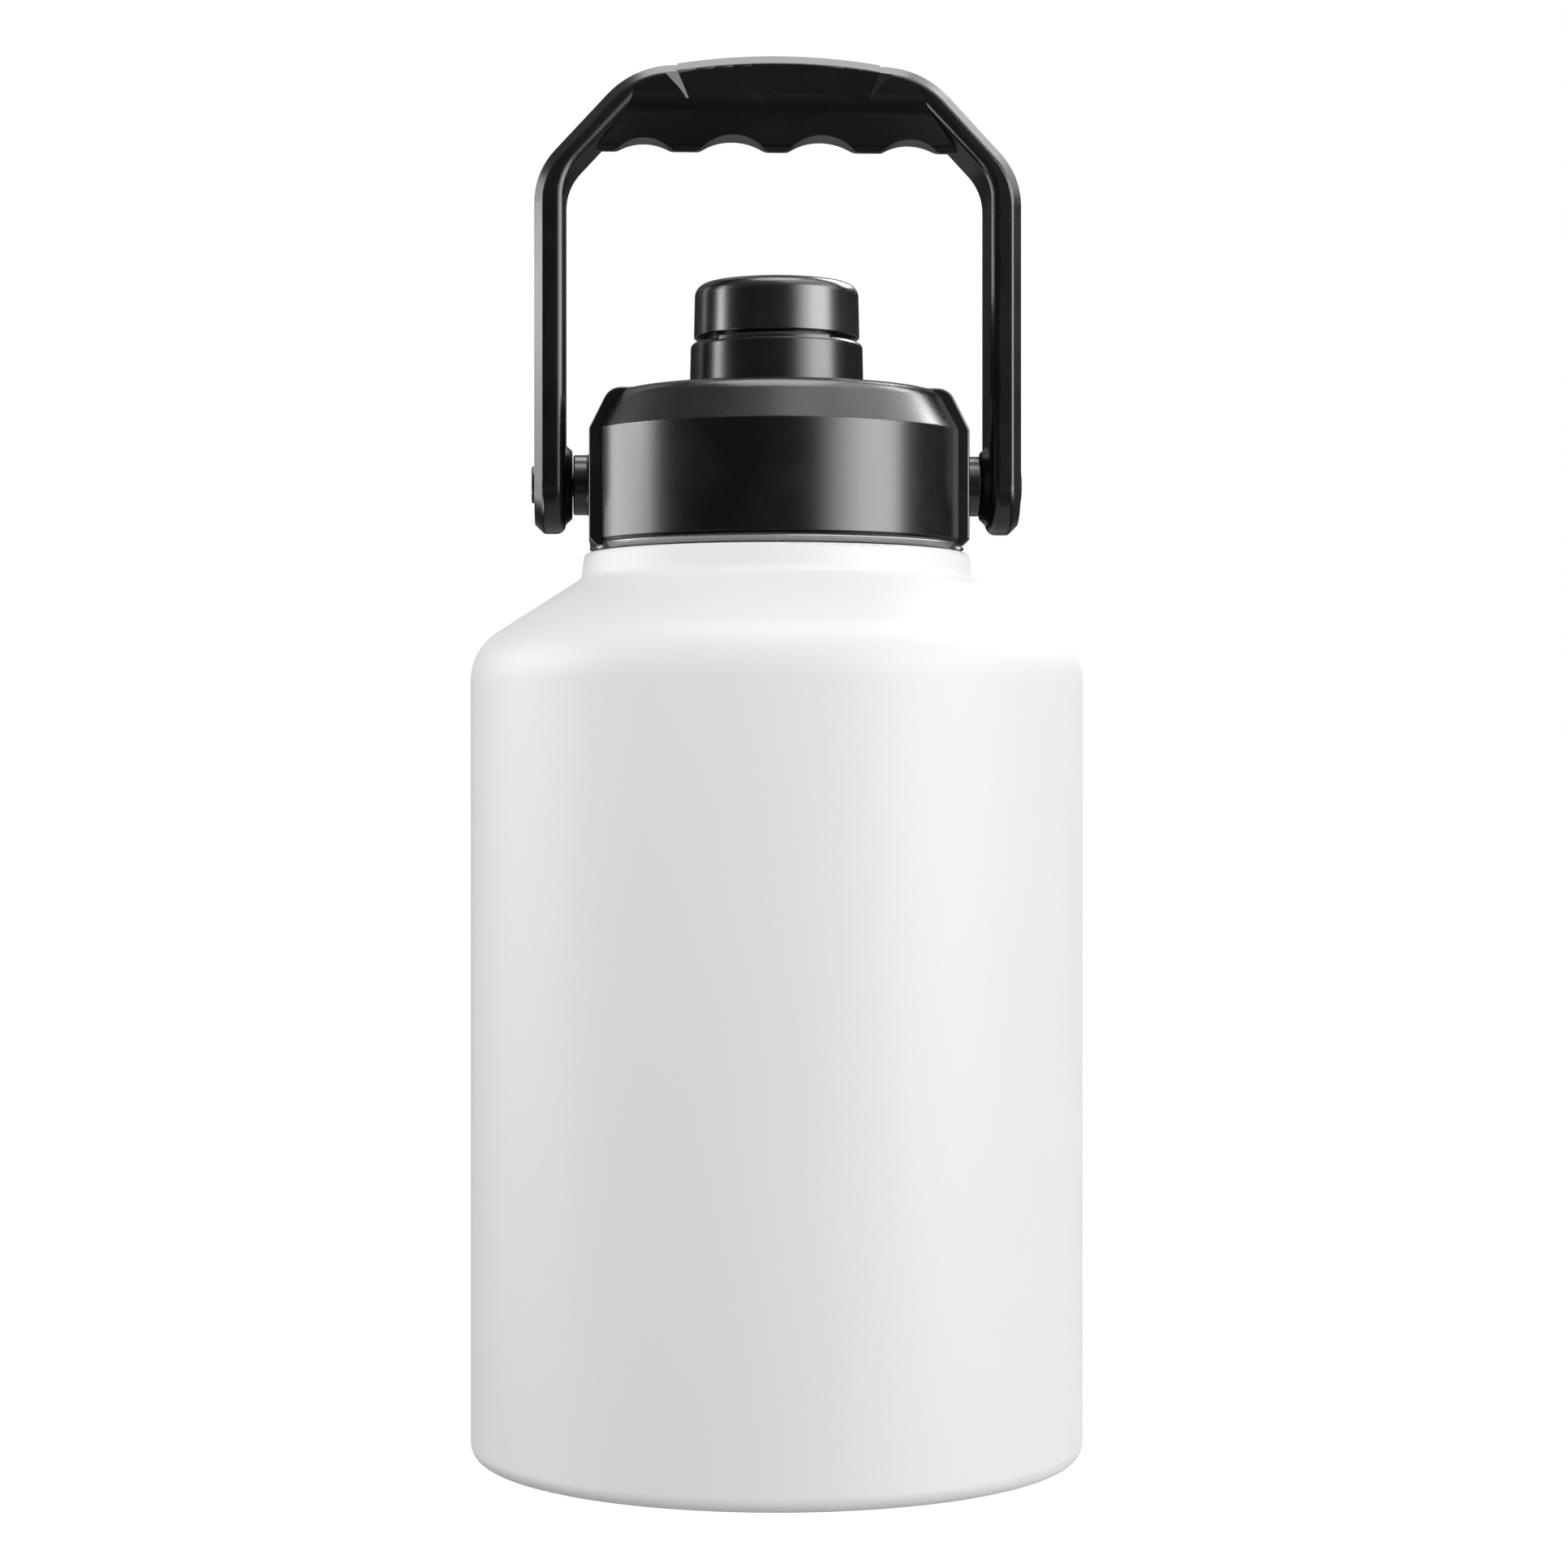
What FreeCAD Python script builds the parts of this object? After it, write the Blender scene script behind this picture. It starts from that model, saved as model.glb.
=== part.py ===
"""One-gallon insulated water jug: steel bottle, moulded lid, screw cap and a swinging bail handle.

Millimetres. +Z is up, the jug stands on Z = 0 and its axis is the Z axis. The handle's two legs
stand at -X and +X, and it swings about the X direction on two pivot pins.
"""

import FreeCAD, Part
import math
import os

Vector = FreeCAD.Vector
X_AXIS = Vector(1, 0, 0)
Y_AXIS = Vector(0, 1, 0)
Z_AXIS = Vector(0, 0, 1)
ORIGIN = Vector(0, 0, 0)

# ---------------------------------------------------------------- driving dimensions
# Bottle
body_radius = 80.0
body_height = 210.2            # where the side wall's line meets the shoulder's cone
base_fold_radius = 4.0
foot_ring_radius = 66.0        # inner edge of the ring that the jug stands on
foot_recess = 2.4
shoulder_slope_deg = 32.7      # the cone's rise above the horizontal
shoulder_radius = 15.0
neck_radius = 51.2             # at the foot of the neck
neck_draft = 0.9               # the neck is this much narrower at its top
neck_height = 6.6
neck_foot_fillet = 2.0
neck_edge_round = 1.1
mouth_radius = 43.0            # the mouth, which stands up inside the lid
mouth_height = 27.0            # above the neck

# Lid
lid_set_back = 0.7             # the skirt is this much narrower than the neck's top
lid_gap = 0.3                  # shadow gap between the neck and the lid
skirt_height = 30.9
lid_lip_height = 1.9           # sloped lip along the skirt's lower edge
lid_lip_inset = 1.4
lid_groove = 0.45              # fine groove over the lip, as high as it is deep
lid_slope_height = 10.7
lid_slope_inset = 5.35
lid_edge_round = 5.0
lid_corner_round = 0.8
mouth_clearance = 0.4          # round the mouth, all the way up
pad_half_width = 18.5          # flat pads that carry the pivots
pad_inset = 0.6                # from the skirt's widest line
pad_lift = 1.1                 # the pads stop this much above the lip's edge
pad_chamfer = 1.6
pad_edge_round = 0.6

# Spout and cap
collar_radius = 22.8
collar_height = 13.4
collar_draft = 0.3
collar_edge_round = 1.5
spout_radius = 18.6
spout_height = 11.5            # above the collar
cap_gap = 1.2                  # between the collar and the cap
cap_radius = 21.7
cap_draft = 0.3
cap_roof = 4.0                 # from the spout's top to the cap's top
cap_edge_round = 3.4
cap_clearance = 0.35           # round the spout

# Pivots
pivot_height = 17.8            # above the lid's lower edge
boss_radius = 7.85
boss_length = 4.2
boss_fillet = 0.8
pin_radius = 3.0
pin_engagement = 6.6           # length of the pin inside the boss and the pad
pin_head_radius = 4.8
pin_head_thickness = 2.1
pin_head_proud = 0.9
pin_running_clearance = 0.05
head_clearance = 0.35          # round the pin's head, in the ear
side_gap = 0.3                 # between the boss and the ear, and under the pin's head

# Handle frame
leg_depth = 25.6               # front to back
leg_thickness = 8.0
hub_rise = 1.7                 # the ear's hub stands this much inside the leg
hub_radius = 8.9
hub_flare = 3.7
handle_rise = 108.0            # from the pivot to the flat of the handle's corners
diagonal_drop = 28.0           # from that flat down to where the legs start
corner_half_span = 37.2        # where the diagonal's line meets the flat's line
leg_bend_radius = 20.0
corner_bend_radius = 24.0
diagonal_thickness = 6.4
inner_bend_radius = 14.0
outer_bevel = 2.4
inner_round = 2.4              # along the inside of the frame
bevel_round = 1.2              # between the frame's front face and its outer bevel

# Grip
grip_height = 20.6             # from the corners' flat down to the lowest part of the underside
grip_belly_radius = 5.6        # round of the underside's lowest line
grip_side_radius = 10.0        # between the upright side and the slope below it
crown_half_span = 26.2         # the raised middle of the grip
crown_rise = 2.1
crown_proud = 2.1              # the crown's upper edge stands out this much, front and back
crown_side_height = 6.8        # the part of the side that leans out to the crown's edge
crown_facet_run = 3.2          # each end of that side is cut off by a facet with this run
crown_ridge_round = 0.8        # along the crown's upper edge, front and back
groove_pitch = 23.2            # one finger
groove_cusp_radius = 3.0
inner_groove_depth = 3.6
inner_groove_half_width = 10.1
outer_groove_depth = 2.8
outer_groove_half_width = 8.5

# Small roundings, and how far apart two places may be and still count as one
edge_round = 0.5
rim_round = 0.8
foot_round = 1.0
touching = 1e-6
parallel = 0.999
overshoot = 1.0                # a shape that cuts or joins runs this much past the faces it meets

# ---------------------------------------------------------------- places that follow
shoulder_rise = math.tan(math.radians(shoulder_slope_deg))
neck_foot_z = body_height + (body_radius - neck_radius) * shoulder_rise
neck_top_z = neck_foot_z + neck_height
neck_top_radius = neck_radius - neck_draft
mouth_top_z = neck_top_z + mouth_height

lid_z = neck_top_z + lid_gap
lid_radius = neck_top_radius - lid_set_back
skirt_top_z = lid_z + skirt_height
lid_top_z = skirt_top_z + lid_slope_height
lid_top_radius = lid_radius - lid_slope_inset

collar_top_z = lid_top_z + collar_height
spout_top_z = collar_top_z + spout_height
cap_z = collar_top_z + cap_gap
cap_top_z = spout_top_z + cap_roof

pivot_z = lid_z + pivot_height
pad_x = lid_radius - pad_inset
boss_end_x = pad_x + boss_length
hub_face_x = boss_end_x + side_gap
leg_inner_x = hub_face_x + hub_rise
leg_outer_x = leg_inner_x + leg_thickness
pin_seat_x = boss_end_x - pin_engagement
head_floor_x = leg_outer_x + pin_head_proud - pin_head_thickness - side_gap

half_depth = leg_depth / 2
corner_top_z = pivot_z + handle_rise
leg_bend_z = corner_top_z - diagonal_drop
grip_bottom_z = corner_top_z - grip_height


# ---------------------------------------------------------------- shared shapes
def upright_xz(u, v):
    return Vector(u, 0, v)


def upright_yz(u, v):
    return Vector(0, u, v)


def rounded_outline(corners, place):
    """Closed wire through corners (u, v, radius): straight runs, and an arc at each corner with a radius."""
    points = [Vector(u, v, 0) for u, v, _ in corners]
    stretches = []
    for index, (_, _, radius) in enumerate(corners):
        here = points[index]
        back = (points[index - 1] - here).normalize()
        ahead = (points[(index + 1) % len(points)] - here).normalize()
        if radius == 0:
            stretches.append([here])
            continue
        half_angle = back.getAngle(ahead) / 2
        reach = radius / math.tan(half_angle)
        to_arc = radius / math.sin(half_angle) - radius
        inward = (back + ahead).normalize()
        stretches.append([here + back * reach, here + inward * to_arc, here + ahead * reach])
    edges = []
    for index, stretch in enumerate(stretches):
        placed = [place(p.x, p.y) for p in stretch]
        before = place(stretches[index - 1][-1].x, stretches[index - 1][-1].y)
        if before.distanceToPoint(placed[0]) > touching:
            edges.append(Part.makeLine(before, placed[0]))
        if len(placed) == 3:
            edges.append(Part.Arc(*placed).toShape())
    return Part.Wire(edges)


def turned(corners, axis=Z_AXIS, place=upright_xz):
    """Solid of revolution of an outline of (radius, height, round) corners."""
    return Part.Face(rounded_outline(corners, place)).revolve(ORIGIN, axis, 360)


def along_x(distance, radius):
    """Plane of a profile that is turned about the X direction: distance along X, then radius."""
    return Vector(distance, 0, radius)


def across_y(corners, half_width):
    """Prism of an outline of (x, z, round) corners, as wide to the front as to the back."""
    face = Part.Face(rounded_outline(corners, upright_xz))
    face.translate(Vector(0, -half_width, 0))
    return face.extrude(Vector(0, 2 * half_width, 0))


def bevel_edges(solid, size, wanted):
    return solid.makeChamfer(size, [edge for edge in solid.Edges if wanted(edge)])


def fillet_edges(solid, radius, wanted):
    return solid.makeFillet(radius, [edge for edge in solid.Edges if wanted(edge)])


def middle_of(edge):
    return edge.valueAt((edge.FirstParameter + edge.LastParameter) / 2)


def on_both_sides(shape):
    """The shape at +X and its mirror image at -X."""
    return [shape, shape.mirror(ORIGIN, X_AXIS)]


# ---------------------------------------------------------------- bottle
def make_bottle():
    """Shut vessel: straight wall, rolled base with a recess, coned shoulder, short neck and mouth."""
    return turned([
        (0, foot_recess, 0),
        (foot_ring_radius - foot_recess, foot_recess, foot_round),
        (foot_ring_radius, 0, foot_round),
        (body_radius, 0, base_fold_radius),
        (body_radius, body_height, shoulder_radius),
        (neck_radius, neck_foot_z, neck_foot_fillet),
        (neck_top_radius, neck_top_z, neck_edge_round),
        (mouth_radius, neck_top_z, 0),
        (mouth_radius, mouth_top_z, rim_round),
        (0, mouth_top_z, 0),
    ])


# ---------------------------------------------------------------- lid
def make_lid_shell():
    """Skirt with a sloped lip, coned top, spout collar and the spout that the cap closes."""
    lip_top_z = lid_z + lid_lip_height
    groove_top_z = lip_top_z + 2 * lid_groove
    return turned([
        (0, mouth_top_z, 0),
        (mouth_radius + mouth_clearance, mouth_top_z, 0),
        (mouth_radius + mouth_clearance, lid_z, 0),
        (lid_radius - lid_lip_inset, lid_z, edge_round),
        (lid_radius, lip_top_z, 0),
        (lid_radius - lid_groove, lip_top_z + lid_groove, 0),
        (lid_radius, groove_top_z, 0),
        (lid_radius, skirt_top_z, lid_corner_round),
        (lid_top_radius, lid_top_z, lid_edge_round),
        (collar_radius, lid_top_z, edge_round),
        (collar_radius - collar_draft, collar_top_z, collar_edge_round),
        (spout_radius, collar_top_z, edge_round),
        (spout_radius, spout_top_z, rim_round),
        (0, spout_top_z, 0),
    ])


def make_lid_pad():
    """The lid's own side outline drawn straight from front to back: a flat pad for the pivot at +X."""
    bottom_z = lid_z + pad_lift
    pad = across_y([
        (mouth_radius / 2, bottom_z, 0),
        (pad_x - pad_chamfer, bottom_z, 0),
        (pad_x, bottom_z + pad_chamfer, 0),
        (pad_x, skirt_top_z, lid_corner_round),
        (lid_top_radius - pad_inset, lid_top_z, lid_edge_round),
        (mouth_radius / 2, lid_top_z, 0),
    ], pad_half_width)

    def is_outer_corner(edge):
        middle = middle_of(edge)
        on_side = abs(abs(middle.y) - pad_half_width) < touching
        return on_side and middle.x > lid_top_radius - lid_edge_round and middle.z > bottom_z + touching

    return fillet_edges(pad, pad_edge_round, is_outer_corner)


def pad_room():
    """The part of the skirt that a pad takes the place of."""
    bottom_z = lid_z + pad_lift
    corner = Vector(mouth_radius / 2, -pad_half_width, bottom_z)
    return Part.makeBox(body_radius, 2 * pad_half_width, lid_top_z - bottom_z, corner)


def make_boss():
    """Round trunnion boss on the pad, with a small fillet at its foot."""
    foot_radius = boss_radius + 2 * boss_fillet
    boss = turned([
        (pad_x - overshoot, 0, 0),
        (pad_x - overshoot, foot_radius, 0),
        (pad_x, foot_radius, 0),
        (pad_x, boss_radius, boss_fillet),
        (boss_end_x, boss_radius, edge_round),
        (boss_end_x, 0, 0),
    ], X_AXIS, along_x)
    boss.translate(Vector(0, 0, pivot_z))
    return boss


def make_lid():
    lid = make_lid_shell()
    for room in on_both_sides(pad_room()):
        lid = lid.cut(room)
    for piece in on_both_sides(make_lid_pad()) + on_both_sides(make_boss()):
        lid = lid.fuse(piece)
    bore_radius = pin_radius + pin_running_clearance
    bore = Part.makeCylinder(bore_radius, pin_engagement, Vector(pin_seat_x, 0, pivot_z), X_AXIS)
    for hole in on_both_sides(bore):
        lid = lid.cut(hole)
    mouth_room = Part.makeCylinder(
        mouth_radius + mouth_clearance, mouth_top_z - lid_z, Vector(0, 0, lid_z), Z_AXIS)
    return lid.cut(mouth_room).removeSplitter()


# ---------------------------------------------------------------- cap
def make_cap():
    """Plain screw cap that sits on the spout's top, with a socket round the spout."""
    socket_radius = spout_radius + cap_clearance
    return turned([
        (0, spout_top_z, 0),
        (socket_radius, spout_top_z, 0),
        (socket_radius, cap_z, 0),
        (cap_radius, cap_z, edge_round),
        (cap_radius - cap_draft, cap_top_z, cap_edge_round),
        (0, cap_top_z, 0),
    ])


# ---------------------------------------------------------------- pivot pins
def make_pin():
    """Headed pin: its end seats in the lid's boss and its head stands a little out of the ear."""
    head_top_x = leg_outer_x + pin_head_proud
    head_foot_x = head_top_x - pin_head_thickness
    pin = turned([
        (pin_seat_x, 0, 0),
        (pin_seat_x, pin_radius, 0),
        (head_foot_x, pin_radius, 0),
        (head_foot_x, pin_head_radius, 0),
        (head_top_x, pin_head_radius, edge_round),
        (head_top_x, 0, 0),
    ], X_AXIS, along_x)
    pin.translate(Vector(0, 0, pivot_z))
    return pin


# ---------------------------------------------------------------- handle
def arch(half_width, bend_z, bend_radius, corner_x, top_z, corner_radius):
    """Outline of two upright legs, two diagonals and a flat top, closed along its foot."""
    right = [
        (half_width, pivot_z - half_depth, 0),
        (half_width, bend_z, bend_radius),
        (corner_x, top_z, corner_radius),
    ]
    left = [(-x, z, radius) for x, z, radius in reversed(right)]
    return right + left


def outer_arch():
    return arch(leg_outer_x, leg_bend_z, leg_bend_radius, corner_half_span, corner_top_z, corner_bend_radius)


def inner_arch():
    """The inside of the frame: its diagonals run beside the outer ones at the diagonals' thickness."""
    slope = diagonal_drop / (leg_outer_x - corner_half_span)
    step = diagonal_thickness * math.hypot(1, slope)
    bend_z = leg_bend_z + (leg_outer_x - leg_inner_x) * slope - step
    top_z = corner_top_z - diagonal_thickness
    corner_x = leg_inner_x - (top_z - bend_z) / slope
    return arch(leg_inner_x, bend_z, inner_bend_radius, corner_x, top_z, diagonal_thickness)


def leg_side_prism():
    """Side view of the legs, drawn from ear to ear: each leg ends in a half circle about its pivot."""
    top_z = corner_top_z + overshoot
    bottom = Part.Arc(
        Vector(0, -half_depth, pivot_z), Vector(0, 0, pivot_z - half_depth), Vector(0, half_depth, pivot_z))
    corners = [Vector(0, half_depth, pivot_z), Vector(0, half_depth, top_z),
               Vector(0, -half_depth, top_z), Vector(0, -half_depth, pivot_z)]
    side = Part.Face(Part.Wire([bottom.toShape()] + Part.makePolygon(corners).Edges))
    reach = leg_outer_x + overshoot
    side.translate(Vector(-reach, 0, 0))
    return side.extrude(Vector(2 * reach, 0, 0))


def is_seam(edge):
    """Short seams that run straight across a leg or straight through it, where nothing is bevelled."""
    if edge.Curve.TypeId != "Part::GeomLine" or abs(middle_of(edge).x) < touching:
        return False
    tangent = edge.tangentAt(edge.FirstParameter)
    return max(abs(tangent.x), abs(tangent.y)) > parallel


def is_foot(edge):
    """The arch's foot line, from ear to ear, which the hollow takes away."""
    tangent = edge.tangentAt(edge.FirstParameter)
    return abs(tangent.x) > parallel and middle_of(edge).z < pivot_z


def make_handle_block():
    """The whole arch without its hollow, bevelled all along its outside.

    The bevel meets the front, the back and the round of the ears in a small rounding.
    """
    block = across_y(outer_arch(), half_depth).common(leg_side_prism())
    block = bevel_edges(block, outer_bevel, lambda edge: not is_seam(edge) and not is_foot(edge))

    def is_bevel_line(edge):
        middle = middle_of(edge)
        reach = math.hypot(middle.y, min(middle.z - pivot_z, 0))
        return abs(reach - half_depth) < touching and not is_seam(edge) and not is_foot(edge)

    return fillet_edges(block, bevel_round, is_bevel_line)


def make_frame(block):
    """Bail of two legs and two diagonals with rounded ears, rounded along the inside."""
    hollow = across_y(inner_arch(), half_depth + overshoot)

    def is_inner(edge):
        return not is_seam(edge) and hollow.distToShape(Part.Vertex(middle_of(edge)))[0] < touching

    return fillet_edges(block.cut(hollow), inner_round, is_inner)


def make_hub():
    """Thickened disc round the pivot on the inside of an ear, coned down to the leg."""
    foot_x = leg_inner_x + inner_round
    hub = turned([
        (leg_outer_x - outer_bevel, 0, 0),
        (hub_face_x, 0, 0),
        (hub_face_x, hub_radius, edge_round),
        (foot_x, hub_radius + hub_flare, 0),
        (leg_outer_x - outer_bevel, hub_radius + hub_flare, 0),
    ], X_AXIS, along_x)
    hub.translate(Vector(0, 0, pivot_z))
    return hub


def make_ear_hole():
    """Bore for the pin and the recess for its head."""
    bore = Part.makeCylinder(
        pin_radius + pin_running_clearance, leg_outer_x - hub_face_x + 2 * overshoot,
        Vector(hub_face_x - overshoot, 0, pivot_z), X_AXIS)
    recess = Part.makeCylinder(
        pin_head_radius + head_clearance, leg_outer_x - head_floor_x + overshoot,
        Vector(head_floor_x, 0, pivot_z), X_AXIS)
    return bore.fuse(recess)


def underside_outline():
    """Outline below the grip: one hollow for each finger between flat cusps, joined by small arcs.

    Each hollow is an arc that meets the arcs of the cusps beside it, so that its radius follows
    from its depth and half width.
    """
    hollows = [
        (groove_pitch / 2, inner_groove_half_width, inner_groove_depth),
        (groove_pitch * 3 / 2, outer_groove_half_width, outer_groove_depth),
    ]
    hollows = [(-x, width, depth) for x, width, depth in reversed(hollows)] + hollows
    floor_z = grip_bottom_z - grip_height
    end_x = leg_outer_x
    here = Vector(-end_x, 0, grip_bottom_z)
    edges = []

    def run_to(point):
        edges.append(Part.makeLine(here, point))
        return point

    for x, width, depth in hollows:
        radius = (width ** 2 + depth ** 2) / (2 * depth) - groove_cusp_radius
        cusp_centre = Vector(x - width, 0, grip_bottom_z + groove_cusp_radius)
        centre = Vector(x, 0, grip_bottom_z + depth - radius)
        toward = (centre - cusp_centre).normalize()
        meeting = cusp_centre + toward * groove_cusp_radius
        half_turn = Vector(toward.x, 0, toward.z - 1).normalize()
        start = Vector(x - width, 0, grip_bottom_z)
        on_cusp = cusp_centre + half_turn * groove_cusp_radius
        here = run_to(start)
        edges.append(Part.Arc(start, on_cusp, meeting).toShape())
        far = [Vector(2 * x - p.x, 0, p.z) for p in (meeting, on_cusp, start)]
        edges.append(Part.Arc(meeting, centre + Z_AXIS * radius, far[0]).toShape())
        edges.append(Part.Arc(far[0], far[1], far[2]).toShape())
        here = far[2]
    for point in (Vector(end_x, 0, grip_bottom_z), Vector(end_x, 0, floor_z), Vector(-end_x, 0, floor_z),
                  Vector(-end_x, 0, grip_bottom_z)):
        here = run_to(point)
    return Part.Wire(edges)


def grip_section(top_z):
    """Upright sides, slopes at 45 degrees below them and a round belly along the lowest line."""
    belly_corner_z = grip_bottom_z - grip_belly_radius * (math.sqrt(2) - 1)
    slope_top_z = belly_corner_z + half_depth
    return [
        (-half_depth, top_z, 0),
        (-half_depth, slope_top_z, grip_side_radius),
        (0, belly_corner_z, grip_belly_radius),
        (half_depth, slope_top_z, grip_side_radius),
        (half_depth, top_z, 0),
    ]


def make_grip_bar(block):
    """Bar that runs into the diagonals, with a hollow for each finger along its underside."""
    section = Part.Face(rounded_outline(grip_section(corner_top_z - outer_bevel), upright_yz))
    section.translate(Vector(-leg_inner_x, 0, 0))
    bar = section.extrude(Vector(2 * leg_inner_x, 0, 0))
    below = Part.Face(underside_outline())
    reach = half_depth + overshoot
    below.translate(Vector(0, -reach, 0))
    bar = bar.cut(below.extrude(Vector(0, 2 * reach, 0)))
    return bar.common(block)


def beyond_plane(first, second, third, reach):
    """Block on the far side of the plane through three points, which run clockwise seen from that side."""
    normal = (third - first).cross(second - first).normalize()
    block = Part.makeBox(2 * reach, 2 * reach, reach, Vector(-reach, -reach, 0))
    block.Placement = FreeCAD.Placement(first, FreeCAD.Rotation(Z_AXIS, normal))
    return block


def make_crown():
    """Raised middle of the grip: an arched top, bevelled like the frame, over sides that lean out to it.

    A facet cuts off each end of the leaning sides, and the arch ends in a small upright step.
    """
    top_z = corner_top_z + crown_rise
    radius = (crown_half_span ** 2 + crown_rise ** 2) / (2 * crown_rise)
    proud_half = half_depth + crown_proud
    ridge_z = top_z - outer_bevel
    section = Part.Face(rounded_outline([
        (-proud_half, ridge_z, crown_ridge_round),
        (outer_bevel - proud_half, top_z, 0),
        (proud_half - outer_bevel, top_z, 0),
        (proud_half, ridge_z, crown_ridge_round),
        (half_depth, ridge_z - crown_side_height, 0),
        (-half_depth, ridge_z - crown_side_height, 0),
    ], upright_yz))
    reach = crown_half_span + 2 * crown_facet_run
    turn = math.degrees(math.asin(reach / radius))
    centre = Vector(0, 0, top_z - radius)
    section.rotate(centre, Y_AXIS, -turn)
    crown = section.revolve(centre, Y_AXIS, 2 * turn)

    ridge_end_z = corner_top_z - outer_bevel
    ridge_end = Vector(crown_half_span, -proud_half, ridge_end_z)
    facet_top = Vector(crown_half_span + crown_facet_run, -half_depth, ridge_end_z)
    facet_foot = Vector(crown_half_span - crown_facet_run, -half_depth, ridge_end_z - crown_side_height)
    end_cuts = [
        beyond_plane(ridge_end, facet_top, facet_foot, reach),
        Part.makeBox(reach, 4 * half_depth, reach, Vector(crown_half_span, -2 * half_depth, ridge_end_z)),
    ]
    end_cuts.append(end_cuts[0].mirror(ORIGIN, Y_AXIS))
    for end_cut in end_cuts:
        for tool in on_both_sides(end_cut):
            crown = crown.cut(tool)
    return crown


def make_handle():
    block = make_handle_block()
    handle = make_frame(block).fuse(make_grip_bar(block)).fuse(make_crown())
    for hub in on_both_sides(make_hub()):
        handle = handle.fuse(hub)
    for hole in on_both_sides(make_ear_hole()):
        handle = handle.cut(hole)
    return handle.removeSplitter()


# ---------------------------------------------------------------- write the pieces
def main():
    pin = make_pin()
    pieces = {
        "bottle": make_bottle(),
        "lid": make_lid(),
        "cap": make_cap(),
        "pivot_pin_right": pin,
        "pivot_pin_left": pin.mirror(ORIGIN, X_AXIS),
        "handle": make_handle(),
    }
    os.makedirs("parts", exist_ok=True)
    for name, shape in pieces.items():
        shape.exportStep(os.path.join("parts", name + ".step"))


main()
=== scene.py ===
"""Insulated water jug: finishes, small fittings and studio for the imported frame."""

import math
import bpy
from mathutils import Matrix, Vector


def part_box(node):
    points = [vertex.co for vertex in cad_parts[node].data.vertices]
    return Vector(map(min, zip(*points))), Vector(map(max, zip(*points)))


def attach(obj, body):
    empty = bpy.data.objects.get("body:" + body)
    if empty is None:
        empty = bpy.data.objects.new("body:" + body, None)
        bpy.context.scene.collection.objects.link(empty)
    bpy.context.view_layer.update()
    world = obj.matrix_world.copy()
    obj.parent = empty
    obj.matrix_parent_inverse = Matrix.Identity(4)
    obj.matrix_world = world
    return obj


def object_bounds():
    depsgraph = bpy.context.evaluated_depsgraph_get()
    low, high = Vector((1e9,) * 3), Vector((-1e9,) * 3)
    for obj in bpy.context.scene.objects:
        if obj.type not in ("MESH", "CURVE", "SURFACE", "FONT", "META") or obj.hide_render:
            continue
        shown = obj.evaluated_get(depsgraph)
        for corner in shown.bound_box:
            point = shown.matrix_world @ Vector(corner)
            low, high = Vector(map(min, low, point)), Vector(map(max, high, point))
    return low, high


bl_info = {
    "name": "Insulated Water Jug",
    "version": (1, 0, 0),
    "blender": (4, 5, 0),
    "location": "3D View > Sidebar > Water Jug",
    "description": "Finishes a steel jug with a swinging handle and sets up its studio",
    "category": "Object",
}

import bmesh
import bpy
from bpy.props import FloatProperty, FloatVectorProperty, PointerProperty
from mathutils import Vector

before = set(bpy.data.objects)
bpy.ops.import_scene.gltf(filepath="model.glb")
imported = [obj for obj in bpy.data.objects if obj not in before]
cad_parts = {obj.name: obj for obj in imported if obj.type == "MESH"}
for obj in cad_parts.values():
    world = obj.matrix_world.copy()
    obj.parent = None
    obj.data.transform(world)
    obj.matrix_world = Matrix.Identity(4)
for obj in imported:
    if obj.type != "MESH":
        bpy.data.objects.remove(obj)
CAD_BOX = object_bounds()
MM = 0.001

# Degrees between the rows of points of a swept piece, and the angle over which its edges
# stay sharp.
SWEEP_STEP = 1.5
SHARP_ANGLE = math.radians(35)

# The lid's sloped lip, from its lower inner edge: how far it rises and comes out.
LIP_RISE = 1.9 * MM
LIP_SPREAD = 1.4 * MM

# The steel ring on the lip: the lip left bare below and above it, the bevel of its upper
# edge, and how far its back stands off the lip.
RING_BELOW = 0.25 * MM
RING_ABOVE = 0.35 * MM
RING_BEVEL = 0.1 * MM
RING_STANDOFF = 0.03 * MM

# Painted glints: pale tabs at the lower corners of the lid's pads. How far they sit inside the
# lid's outer face and over its lower edge, the turn between two sides of a tab, and the
# rounding of its ends.
TAB_INSET = 0.72 * MM
TAB_RISE = 0.6 * MM
TAB_SIDE_TURN = 45
TAB_ROUNDING = 0.12 * MM

# The collar's stop rim: its width, how deep it is let into the collar, and the rounding of
# its outer top edge, with the middle point of that rounding.
RIM_WIDTH = 1.3 * MM
RIM_SUNK = 0.9 * MM
RIM_ROUNDING = 0.3 * MM
RIM_ROUNDING_MIDDLE = 0.1 * MM


# ---------------------------------------------------------------- shader maths


def grey(tone):
    return tone, tone, tone, 1.0


class Value:
    """A number that varies over a surface. Sums on it add Math nodes to its finish."""

    def __init__(self, finish, socket):
        self.finish = finish
        self.socket = socket

    def __add__(self, other):
        return self.finish.maths("ADD", self, other)

    __radd__ = __add__

    def __sub__(self, other):
        return self.finish.maths("SUBTRACT", self, other)

    def __rsub__(self, other):
        return self.finish.maths("SUBTRACT", other, self)

    def __mul__(self, other):
        return self.finish.maths("MULTIPLY", self, other)

    __rmul__ = __mul__


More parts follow.
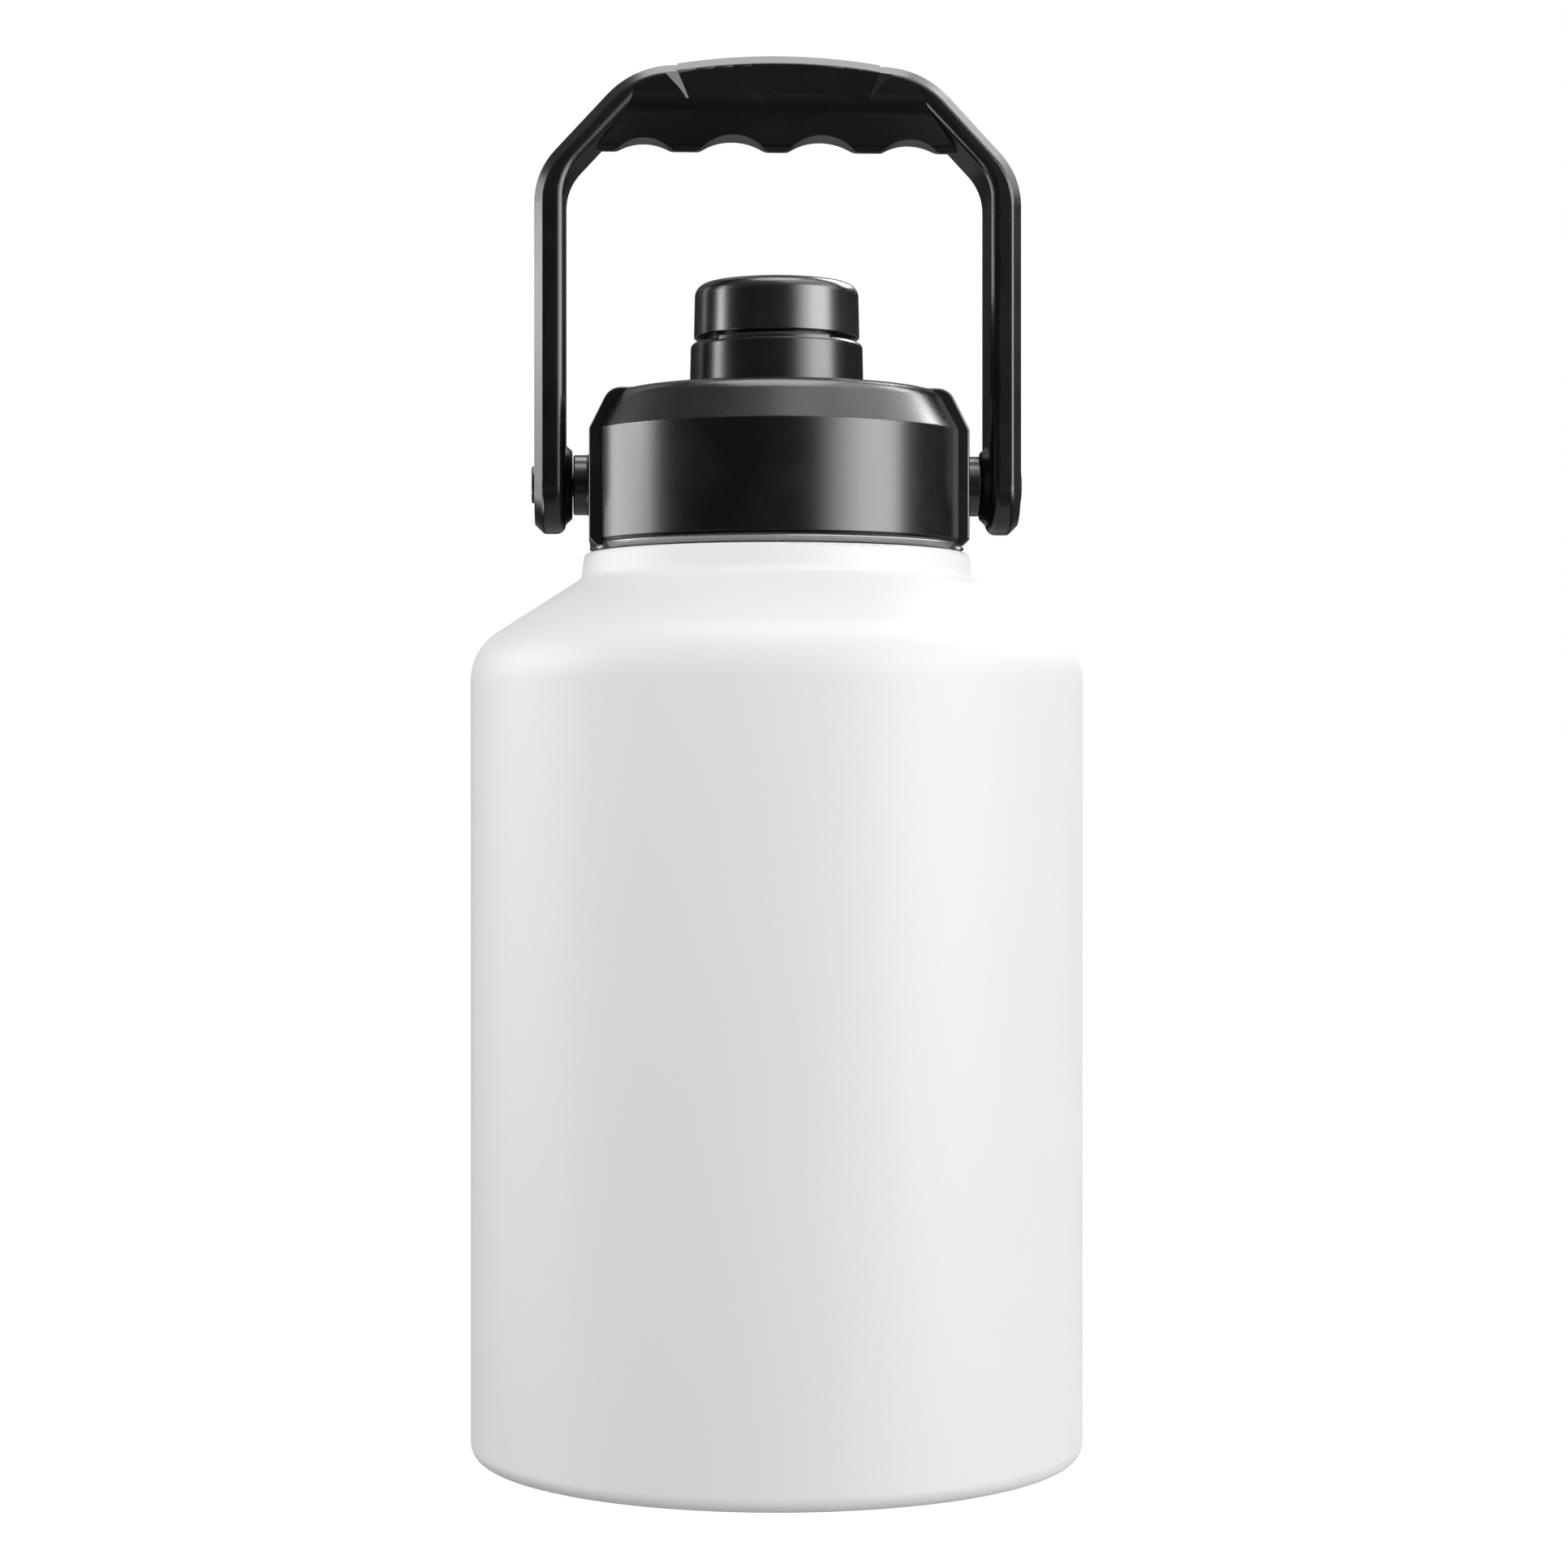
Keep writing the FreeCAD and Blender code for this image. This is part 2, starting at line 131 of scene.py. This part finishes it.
class Finish:
    """A node tree that a material or the surroundings is written in."""

    def __init__(self, tree):
        self.tree = tree
        self.tree.nodes.clear()

    def node(self, kind, settings=None, inputs=None):
        """Adds one node: its settings first, and then the values or links of its sockets."""
        made = self.tree.nodes.new(kind)
        for key, setting in (settings or {}).items():
            if key == "stops":
                self.set_stops(made.color_ramp, setting)
            else:
                setattr(made, key, setting)
        for key, given in (inputs or {}).items():
            socket = self.find(made.inputs, key)
            if isinstance(given, Value):
                self.tree.links.new(given.socket, socket)
            else:
                socket.default_value = given
        return made

    @staticmethod
    def find(sockets, key):
        """A socket by its number, its identifier or its name."""
        if isinstance(key, int):
            return sockets[key]
        return next(s for s in sockets if key in (s.identifier, s.name))

    @staticmethod
    def set_stops(ramp, stops):
        """Gives a colour ramp its greys, as pairs of a position and a tone."""
        while len(ramp.elements) < len(stops):
            ramp.elements.new(1.0)
        for element, (position, tone) in zip(ramp.elements, stops):
            element.position = position
            element.color = grey(tone)

    def read(self, node, key=0):
        """One output of a node."""
        return Value(self, self.find(node.outputs, key))

    def maths(self, operation, *numbers):
        made = self.node("ShaderNodeMath", {"operation": operation}, dict(enumerate(numbers)))
        return self.read(made)

    def place(self):
        """Places on the piece in metres, the same in every view and pose."""
        return self.read(self.node("ShaderNodeTexCoord"), "Object")

    def stretched(self, place, factors):
        """The same places with each coordinate multiplied by its own factor."""
        inputs = {0: place, 1: factors}
        return self.read(self.node("ShaderNodeVectorMath", {"operation": "MULTIPLY"}, inputs))

    def noise(self, place, size, detail=2.0, roughness=0.5):
        """Smooth noise from 0 to 1 whose blotches are about size metres across."""
        inputs = {"Vector": place, "Scale": 1.0 / size, "Detail": detail, "Roughness": roughness}
        return self.read(self.node("ShaderNodeTexNoise", None, inputs), "Fac")

    def ramp(self, factor, *stops):
        """Greys that follow a factor, from stops of a position and a tone."""
        return self.read(self.node("ShaderNodeValToRGB", {"stops": stops}, {"Fac": factor}))

    def mix(self, factor, first, second):
        """The first colour where the factor is 0, and the second where it is 1."""
        inputs = {"Factor_Float": factor, "A_Color": first, "B_Color": second}
        made = self.node("ShaderNodeMix", {"data_type": "RGBA"}, inputs)
        return self.read(made, "Result_Color")

    def bump(self, height, depth, under=None):
        """Relief whose full height is depth metres, laid over an earlier relief."""
        inputs = {"Height": height, "Distance": depth, "Strength": 1.0}
        if under is not None:
            inputs["Normal"] = under
        return self.read(self.node("ShaderNodeBump", None, inputs))

    def surface(self, **inputs):
        """The main shader, straight to the output. Underscores stand for spaces."""
        named = {key.replace("_", " "): given for key, given in inputs.items()}
        shader = self.read(self.node("ShaderNodeBsdfPrincipled", None, named))
        self.node("ShaderNodeOutputMaterial", None, {"Surface": shader})


def new_material(name):
    material = bpy.data.materials.new(name)
    material.use_nodes = True
    return material, Finish(material.node_tree)


# ---------------------------------------------------------------- finishes


def powder_coat(name, look):
    """White powder coat: a fine pebbled skin with faint drifts in tone and gloss."""
    material, finish = new_material(name)
    place = finish.place()
    drift = finish.noise(place, size=look.drift, detail=3.0)
    pebbles = finish.noise(place, size=look.pebble, roughness=0.6)
    swell = finish.noise(place, size=look.swell, detail=1.0)
    skin = finish.bump(pebbles, look.pebble_depth)
    skin = finish.bump(swell, look.pebble_depth, skin)
    finish.surface(
        Base_Color=finish.mix(drift, (*look.colour_low, 1.0), (*look.colour, 1.0)),
        Roughness=look.roughness + (drift - 0.5) * look.drift_dulling,
        Normal=skin,
        Specular_IOR_Level=look.gloss,
    )
    return material


def black_plastic(name, look, gloss, flow=(1.0, 1.0, 1.0)):
    """Moulded black plastic: satin grain, and handling marks that change tone and gloss.

    flow stretches the ripple along an axis where its factor is under 1."""
    material, finish = new_material(name)
    place = finish.place()
    grain = finish.noise(place, size=look.grain, roughness=0.6)
    ripple = finish.noise(finish.stretched(place, flow), size=look.ripple, detail=1.0)
    blotches = finish.noise(place, size=look.marks, detail=4.0, roughness=0.65)
    marks = finish.ramp(blotches, (0.45, 0.0), (0.8, 1.0))
    skin = finish.bump(grain, look.grain_depth)
    skin = finish.bump(ripple, look.ripple_depth, skin)
    finish.surface(
        Base_Color=finish.mix(marks, (*look.colour, 1.0), (*look.worn_colour, 1.0)),
        Roughness=look.roughness + marks * look.marks_dulling,
        Normal=skin,
        Specular_IOR_Level=gloss,
    )
    return material


def bare_steel(name, look):
    """Turned steel left bare: fine turning marks that run round the axis, and dull patches."""
    material, finish = new_material(name)
    place = finish.place()
    round_the_axis = finish.stretched(place, (0.02, 0.02, 1.0))
    turning = finish.noise(round_the_axis, size=look.turning)
    patches = finish.noise(place, size=look.patch, detail=3.0, roughness=0.6)
    finish.surface(
        Base_Color=finish.mix(patches, (*look.colour, 1.0), (*look.colour_low, 1.0)),
        Metallic=1.0,
        Roughness=look.roughness + (patches - 0.5) * look.patch_dulling,
        Normal=finish.bump(turning, look.turning_depth),
    )
    return material


def pale_glint_silicone(name, look):
    """Pale silicone for the tabs that paint in glints, with a faint bloom that dulls it in places.
    """
    material, finish = new_material(name)
    bloom = finish.noise(finish.place(), size=look.bloom, detail=3.0)
    finish.surface(
        Base_Color=finish.mix(bloom, (*look.colour, 1.0), (*look.colour_low, 1.0)),
        Roughness=look.roughness + bloom * look.bloom_dulling,
        Normal=finish.bump(bloom, look.bloom_depth),
    )
    return material


def floor_paper(name, glow):
    """Matt white paper that glows a little, with faint flecks."""
    material, finish = new_material(name)
    fleck = finish.noise(finish.place(), size=30 * MM)
    finish.surface(
        Base_Color=finish.mix(fleck, grey(0.9), grey(0.92)),
        Roughness=0.9,
        Emission_Color=grey(1.0),
        Emission_Strength=glow,
        Specular_IOR_Level=0.0,
    )
    return material


# ---------------------------------------------------------------- pieces


def dress(node, material):
    """Puts a finish on every slot of a node of the frame."""
    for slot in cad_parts[node].material_slots:
        slot.material = material


def add_object(name, data):
    made = bpy.data.objects.new(name, data)
    bpy.context.scene.collection.objects.link(made)
    return made


def sweep_round(shell, outline, start, end):
    """Sweeps a closed outline of (radius, height) round the upright axis, and closes its ends.

    Angles are degrees from the front, to the right positive."""
    count = math.ceil((end - start) / SWEEP_STEP)
    rows = []
    for index in range(count + 1):
        turn = math.radians(start + (end - start) * index / count)
        rows.append([
            shell.verts.new((radius * math.sin(turn), -radius * math.cos(turn), height))
            for radius, height in outline
        ])
    for row, following in zip(rows, rows[1:]):
        for index in range(len(outline)):
            after = (index + 1) % len(outline)
            shell.faces.new((row[index], row[after], following[after], following[index]))
    shell.faces.new(rows[0])
    shell.faces.new(reversed(rows[-1]))


def new_piece(name, shell, body, material, rounding=0.0):
    """Makes a piece of the object from finished mesh code."""
    bmesh.ops.recalc_face_normals(shell, faces=shell.faces)
    mesh = bpy.data.meshes.new(name)
    shell.to_mesh(mesh)
    shell.free()
    mesh.materials.append(material)
    mesh.shade_smooth()
    mesh.set_sharp_from_angle(angle=SHARP_ANGLE)
    piece = add_object(name, mesh)
    if rounding:
        bevel = piece.modifiers.new("rounding", "BEVEL")
        bevel.width = rounding
        bevel.segments = 2
        bevel.harden_normals = True
    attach(piece, body)
    return piece


def ring_outline(thickness):
    """Section of the steel ring, which lies along the lid's sloped lip."""
    low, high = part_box("lid")
    slope = math.hypot(LIP_RISE, LIP_SPREAD)

    def on_lip(along, out):
        """A point so far up the lip, and so far off it."""
        radius = high[1] - LIP_SPREAD + (along * LIP_SPREAD + out * LIP_RISE) / slope
        return radius, low[2] + (along * LIP_RISE - out * LIP_SPREAD) / slope

    return [
        on_lip(RING_BELOW, RING_STANDOFF),
        on_lip(RING_BELOW, thickness),
        on_lip(slope - RING_ABOVE - RING_BEVEL, thickness),
        on_lip(slope - RING_ABOVE, RING_STANDOFF),
    ]


def tab_outline(tab_radius):
    """Section of one of the pale tabs that paint in glints, just inside the lid's lower edge."""
    low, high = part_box("lid")
    middle_radius = high[1] - TAB_INSET
    middle_height = low[2] + TAB_RISE
    return [
        (
            middle_radius + tab_radius * math.cos(math.radians(turn)),
            middle_height + tab_radius * math.sin(math.radians(turn)),
        )
        for turn in range(0, 360, TAB_SIDE_TURN)
    ]


def stop_outline(lid):
    """Section of the rim on the collar, rounded at its outer top edge."""
    collar_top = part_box("cap")[0][2] - lid.cap_gap
    edge = lid.stop_radius
    top = collar_top + lid.stop_height
    return [
        (edge - RIM_WIDTH, collar_top - RIM_SUNK),
        (edge, collar_top - RIM_SUNK),
        (edge, top - RIM_ROUNDING),
        (edge - RIM_ROUNDING_MIDDLE, top - RIM_ROUNDING_MIDDLE),
        (edge - RIM_ROUNDING, top),
        (edge - RIM_WIDTH, top),
    ]


# ---------------------------------------------------------------- what a user may change


def metres(name, description, default):
    return FloatProperty(
        name=name, description=description, default=default, unit="LENGTH", precision=5
    )


def camera_length(name, description, default):
    return FloatProperty(name=name, description=description, default=default, unit="CAMERA")


def number(name, description, default):
    return FloatProperty(name=name, description=description, default=default)


def share(name, description, default):
    return FloatProperty(
        name=name, description=description, default=default, min=0.0, max=1.0, subtype="FACTOR"
    )


def tint(name, description, default):
    return FloatVectorProperty(
        name=name, description=description, default=default, min=0.0, max=1.0, subtype="COLOR"
    )


def angle(name, description, degrees):
    return FloatProperty(
        name=name, description=description, default=math.radians(degrees), subtype="ANGLE"
    )


class JugCoat(bpy.types.PropertyGroup):
    """The bottle's powder coat."""

    colour: tint("Colour", "Colour of the coat", (0.86, 0.86, 0.86))
    colour_low: tint("Low colour", "Colour where the coat drifts darker", (0.84, 0.84, 0.84))
    roughness: share("Roughness", "How dull the coat is", 0.5)
    gloss: share("Gloss", "Strength of the coat's reflections", 0.2)
    pebble: metres("Pebble", "Width of one pebble of the coat", 0.0007)
    pebble_depth: metres("Pebble depth", "Height of the pebbles", 0.000012)
    swell: metres("Swell", "Width of the swells that the pebbles lie on", 0.0035)
    drift: metres("Drift", "Width of the slow drifts in tone and gloss", 0.045)
    drift_dulling: number("Drift dulling", "How much the roughness changes over a drift", 0.08)


class JugPlastic(bpy.types.PropertyGroup):
    """The black moulded plastic of lid, cap, pins and handle."""

    colour: tint("Colour", "Colour of the plastic", (0.0022, 0.0022, 0.0023))
    worn_colour: tint("Handled colour", "Colour where it is often touched", (0.0065, 0.0065, 0.0065))
    roughness: share("Roughness", "How dull the plastic is", 0.27)
    gloss: share("Gloss", "Strength of the reflections on the lid and the pins", 0.5)
    cap_gloss: share("Cap gloss", "Strength of the reflections on the cap", 0.7)
    handle_gloss: share("Handle gloss", "Strength of the reflections on the handle", 0.4)
    grain: metres("Grain", "Width of the moulded grain", 0.0003)
    grain_depth: metres("Grain depth", "Height of the moulded grain", 0.000001)
    ripple: metres("Ripple", "Width of the slow ripple that moulding leaves", 0.014)
    ripple_depth: metres("Ripple depth", "Height of the ripple", 0.0000025)
    marks: metres("Marks", "Width of the handling marks", 0.016)
    marks_dulling: number("Marks' dulling", "Roughness that the handling marks add", 0.025)


class JugLid(bpy.types.PropertyGroup):
    """The rim on the spout's collar that the cap stops at."""

    cap_gap: metres("Cap gap", "Height of the gap between the collar and the cap", 0.0012)
    stop_height: metres("Stop height", "How far the rim stands over the collar", 0.00045)
    stop_radius: metres("Stop radius", "Outer radius of the rim", 0.02235)
    stop_start: angle("Stop start", "Where the rim begins, round from the front", -44.0)
    stop_end: angle("Stop end", "Where the rim ends, round from the front", 35.0)


class JugSteel(bpy.types.PropertyGroup):
    """The bare steel ring that shows between the neck and the lid."""

    colour: tint("Colour", "Colour of the steel", (0.38, 0.38, 0.38))
    colour_low: tint("Low colour", "Colour of its dull patches", (0.31, 0.31, 0.31))
    roughness: share("Roughness", "How dull the steel is", 0.28)
    turning: metres("Turning", "Spacing of the turning marks", 0.0002)
    turning_depth: metres("Turning depth", "Height of the turning marks", 0.000002)
    patch: metres("Patch", "Width of a dull patch", 0.006)
    patch_dulling: number("Patch dulling", "How much the roughness changes over a patch", 0.1)
    reach: angle("Reach", "How far round from the front or the back the ring shows", 64.0)
    thickness: metres("Thickness", "Thickness of the ring", 0.0002)


class JugGlintTabs(bpy.types.PropertyGroup):
    """Pale tabs beside the lid's flat pads: painted glints at the pads' lower corners."""

    colour: tint("Colour", "Colour of the silicone", (0.9, 0.9, 0.9))
    colour_low: tint("Low colour", "Colour under the bloom", (0.846, 0.846, 0.846))
    roughness: share("Roughness", "How dull the clean silicone is", 0.3)
    bloom: metres("Bloom", "Width of a patch of bloom", 0.0015)
    bloom_depth: metres("Bloom depth", "Height of the bloom", 0.00001)
    bloom_dulling: number("Bloom dulling", "Roughness that the bloom adds", 0.2)
    tab_middle: angle("Tab", "Where a tab shows, round from the front or the back", 70.6)
    tab_width: angle("Tab width", "How much of the round a tab takes up", 3.6)
    tab_radius: metres("Tab radius", "Radius of the rounded tab", 0.0005)


class JugStudio(bpy.types.PropertyGroup):
    """Camera, floor and lights."""

    lens: camera_length("Lens", "Focal length in millimetres", 80.0)
    sensor: camera_length("Sensor", "Width of the camera's sensor in millimetres", 36.0)
    distance: metres("Distance", "From the jug's axis to the camera", 0.914)
    height: metres("Height", "Height of the camera over the floor", 0.1752)
    turn: angle("Turn", "How far round the camera stands", -2.5)
    shift: number("Shift", "Sideways shift of the frame", 0.0047)
    floor_size: metres("Floor size", "Width of the floor", 60.0)
    floor_glow: share("Floor glow", "How much the floor glows, so that it stays pale", 0.7)
    backdrop: share("Backdrop", "Brightness of the studio behind the jug", 1.0)
    key: number("Key light", "Brightness of the reflected lights at the front right", 11.0)
    edge: number("Edge light", "Brightness of the reflected lights at the left", 7.0)
    top: number("Top light", "Brightness of the reflected lights overhead and behind", 8.0)
    side: number("Side light", "Brightness of the reflected lights high on the right", 3.0)
    low: number("Low light", "Brightness of the reflected light low on the left", 10.0)
    fill: number("Fill light", "Brightness of the soft lights that shade the coat", 1.0)


# ---------------------------------------------------------------- stage


def aim_from(thing, middle, away, distance):
    """Stands a light or the camera off from a place, looking back at it."""
    thing.location = middle + away * distance
    thing.rotation_mode = "QUATERNION"
    thing.rotation_quaternion = away.to_track_quat("Z", "Y")


def soft_light(name, radiance, side, lift, distance, size):
    """A rectangular soft light that the camera doesn't see, aimed at the middle of the jug.

    side is in degrees round from the front, to the right positive, and lift in degrees up."""
    data = bpy.data.lights.new(name, "AREA")
    data.shape = "RECTANGLE"
    data.size, data.size_y = size
    data.energy = radiance * math.pi * size[0] * size[1]
    light = add_object(name, data)
    turn, rise = math.radians(side), math.radians(lift)
    level = math.cos(rise)
    away = Vector((math.sin(turn) * level, -math.cos(turn) * level, math.sin(rise)))
    aim_from(light, (CAD_BOX[0] + CAD_BOX[1]) / 2, away, distance)
    light.visible_camera = False
    return light


def add_shines(studio):
    """The lights that only reflections see: radiance, side, lift, distance and size of each.

    The key's three overlap, so that its reflection fades in softly from the front. The cap's
    light is small and near, because the handle's left leg hides the edge light from the cap."""
    shines = {
        "key_shine": (studio.key * 0.38, 59.5, 8, 1.6, (0.84, 1.4)),
        "key_slope": (studio.key * 0.36, 55, 8, 1.6, (1.22, 1.4)),
        "key_foot": (studio.key * 0.3, 50.5, 8, 1.6, (1.54, 1.4)),
        "edge_shine": (studio.edge, -102, 8, 1.6, (1.2, 1.4)),
        "cap_shine": (studio.edge * 1.15, -87, 24.5, 0.385, (0.09, 0.06)),
        "top_shine": (studio.top * 0.8, 180, 84, 1.3, (0.85, 1.3)),
        "side_shine": (studio.side, 100, 44, 1.5, (1.1, 1.3)),
        "back_shine": (studio.top * 2.2, 133, 43, 1.4, (0.66, 0.66)),
        "front_shine": (studio.side * 0.8, 38, 62, 1.4, (1.0, 1.0)),
        "low_shine": (studio.low, -75, -30, 0.8, (0.35, 0.35)),
    }
    for name, setting in shines.items():
        soft_light(name, *setting).visible_diffuse = False


def add_fills(studio):
    """The lights that only shade the coat: radiance, side, lift, distance and size of each."""
    fills = {
        "key_fill": (studio.fill * 1.36, 71, 5, 1.8, (1.4, 1.6)),
        "edge_fill": (studio.fill * 1.2, -112, 22, 1.8, (1.2, 1.6)),
        "front_fill": (studio.fill * 1.2, 10, 14, 1.5, (1.2, 1.2)),
        "left_fill": (studio.fill * 1.95, -44, 44, 1.0, (0.7, 0.6)),
        "rim_fill": (studio.fill * 1.38, 112, 3, 1.8, (1.4, 1.6)),
    }
    for name, setting in fills.items():
        soft_light(name, *setting).visible_glossy = False


def lay_floor(studio):
    """The paper under the jug, which the jug neither reflects nor is lit by."""
    half = studio.floor_size / 2
    corners = [(-half, -half, 0.0), (half, -half, 0.0), (half, half, 0.0), (-half, half, 0.0)]
    mesh = bpy.data.meshes.new("floor")
    mesh.from_pydata(corners, [], [(0, 1, 2, 3)])
    mesh.materials.append(floor_paper("floor_paper", studio.floor_glow))
    floor = add_object("floor", mesh)
    floor.visible_diffuse = False
    floor.visible_glossy = False


def studio_world(backdrop):
    """White to the camera. It shades the coat softly, and reflections see it dark half-way up.

    The ramps run from straight down at 0 to straight up at 1."""
    world = bpy.data.worlds.new("studio")
    bpy.context.scene.world = world
    world.use_nodes = True
    finish = Finish(world.node_tree)
    rays = finish.node("ShaderNodeLightPath")
    to_camera = finish.read(rays, "Is Camera Ray")
    to_coat = finish.read(rays, "Is Diffuse Ray")
    direction = finish.read(finish.node("ShaderNodeTexCoord"), "Generated")
    parts = finish.node("ShaderNodeSeparateXYZ", None, {"Vector": direction})
    climb = finish.read(parts, "Z") * 0.5 + 0.5
    shading = finish.ramp(climb, (0.3, 0.38), (0.5, 0.61), (0.78, 0.42))
    reflected = finish.ramp(
        climb, (0.3, 0.12), (0.4, 0.36), (0.47, 0.03), (0.57, 0.035), (0.8, 0.35)
    )
    light = finish.mix(to_coat, reflected, shading)
    shown = finish.mix(to_camera, light, grey(backdrop))
    sky = finish.read(finish.node("ShaderNodeBackground", None, {"Color": shown, "Strength": 1.0}))
    finish.node("ShaderNodeOutputWorld", None, {"Surface": sky})


def place_camera(studio):
    data = bpy.data.cameras.new("camera")
    data.lens = studio.lens
    data.sensor_width = studio.sensor
    data.shift_x = studio.shift
    camera = add_object("camera", data)
    away = Vector((math.sin(studio.turn), -math.cos(studio.turn), 0.0))
    aim_from(camera, Vector((0.0, 0.0, studio.height)), away, studio.distance)
    bpy.context.scene.camera = camera


# ---------------------------------------------------------------- operators


class JUG_OT_stage(bpy.types.Operator):
    """Sets the camera, the floor, the surroundings and the lights"""

    bl_idname = "jug.stage"
    bl_label = "Set the Stage"

    def execute(self, context):
        studio = context.scene.jug_studio
        context.scene.view_settings.view_transform = "Standard"
        place_camera(studio)
        studio_world(studio.backdrop)
        lay_floor(studio)
        add_shines(studio)
        add_fills(studio)
        return {"FINISHED"}


class JUG_OT_bottle(bpy.types.Operator):
    """Gives the bottle its powder coat"""

    bl_idname = "jug.bottle"
    bl_label = "Coat the Bottle"

    def execute(self, context):
        dress("bottle", powder_coat("white_powder_coat", context.scene.jug_coat))
        return {"FINISHED"}


class JUG_OT_neck_ring(bpy.types.Operator):
    """Lays the bare steel ring along the lid's sloped lip, at the front and at the back"""

    bl_idname = "jug.neck_ring"
    bl_label = "Add the Steel Ring"

    def execute(self, context):
        steel = context.scene.jug_steel
        outline = ring_outline(steel.thickness)
        reach = math.degrees(steel.reach)
        shell = bmesh.new()
        for middle in (0.0, 180.0):
            sweep_round(shell, outline, middle - reach, middle + reach)
        new_piece("neck_steel_ring", shell, "jug", bare_steel("bare_steel", steel))
        return {"FINISHED"}


class JUG_OT_glint_tabs(bpy.types.Operator):
    """Adds four pale tabs beside the lid's flat pads, as painted glints at their lower corners"""

    bl_idname = "jug.seal"
    bl_label = "Add the Glint Tabs"

    def execute(self, context):
        glint_tabs_look = context.scene.jug_seal
        outline = tab_outline(glint_tabs_look.tab_radius)
        aside = math.degrees(glint_tabs_look.tab_middle)
        half = math.degrees(glint_tabs_look.tab_width) / 2
        shell = bmesh.new()
        for middle in (-aside, aside, 180.0 - aside, 180.0 + aside):
            sweep_round(shell, outline, middle - half, middle + half)
        # Painted glints: pale tabs at the lower corners of the lid's pads, where the light glints.
        silicone = pale_glint_silicone("pale_glint_silicone", glint_tabs_look)
        new_piece("glint_tabs", shell, "jug", silicone, TAB_ROUNDING)
        return {"FINISHED"}


class JUG_OT_lid(bpy.types.Operator):
    """Gives the lid and its two pivot pins their plastic, and adds the rim that stops the cap"""

    bl_idname = "jug.lid"
    bl_label = "Finish the Lid"

    def execute(self, context):
        plastic = context.scene.jug_plastic
        lid = context.scene.jug_lid
        finish = black_plastic("lid_black_plastic", plastic, plastic.gloss, (1.0, 1.0, 0.3))
        dress("lid", finish)
        shell = bmesh.new()
        start, end = math.degrees(lid.stop_start), math.degrees(lid.stop_end)
        sweep_round(shell, stop_outline(lid), start, end)
        new_piece("collar_stop", shell, "jug", finish)
        pins = black_plastic("pin_black_plastic", plastic, plastic.gloss)
        dress("pivot_pin_left", pins)
        dress("pivot_pin_right", pins)
        return {"FINISHED"}


class JUG_OT_cap(bpy.types.Operator):
    """Gives the spout cap its plastic"""

    bl_idname = "jug.cap"
    bl_label = "Finish the Cap"

    def execute(self, context):
        plastic = context.scene.jug_plastic
        finish = black_plastic("cap_black_plastic", plastic, plastic.cap_gloss, (1.0, 1.0, 0.4))
        dress("cap", finish)
        return {"FINISHED"}


class JUG_OT_handle(bpy.types.Operator):
    """Gives the carrying handle its plastic"""

    bl_idname = "jug.handle"
    bl_label = "Finish the Handle"

    def execute(self, context):
        plastic = context.scene.jug_plastic
        dress("handle", black_plastic("handle_black_plastic", plastic, plastic.handle_gloss))
        return {"FINISHED"}


class JUG_PT_panel(bpy.types.Panel):
    """Lists the jug's steps and settings"""

    bl_idname = "JUG_PT_panel"
    bl_label = "Water Jug"
    bl_space_type = "VIEW_3D"
    bl_region_type = "UI"
    bl_category = "Water Jug"

    def draw(self, context):
        for operator in STEPS:
            self.layout.operator(operator.bl_idname)
        for group in SETTINGS:
            column = self.layout.column()
            settings = getattr(context.scene, group)
            for key in settings.bl_rna.properties.keys():
                if key not in ("name", "rna_type"):
                    column.prop(settings, key)


STEPS = (
    JUG_OT_stage,
    JUG_OT_bottle,
    JUG_OT_neck_ring,
    JUG_OT_glint_tabs,
    JUG_OT_lid,
    JUG_OT_cap,
    JUG_OT_handle,
)
SETTINGS = {
    "jug_coat": JugCoat,
    "jug_steel": JugSteel,
    "jug_seal": JugGlintTabs,
    "jug_lid": JugLid,
    "jug_plastic": JugPlastic,
    "jug_studio": JugStudio,
}


def register():
    for group, kind in SETTINGS.items():
        bpy.utils.register_class(kind)
        setattr(bpy.types.Scene, group, PointerProperty(type=kind))
    for kind in (*STEPS, JUG_PT_panel):
        bpy.utils.register_class(kind)


def unregister():
    for kind in (JUG_PT_panel, *reversed(STEPS)):
        bpy.utils.unregister_class(kind)
    for group, kind in SETTINGS.items():
        delattr(bpy.types.Scene, group)
        bpy.utils.unregister_class(kind)


def main():
    register()
    for operator in STEPS:
        section, step = operator.bl_idname.split(".")
        getattr(getattr(bpy.ops, section), step)()
    bpy.context.view_layer.update()


if __name__ == "__main__":
    main()
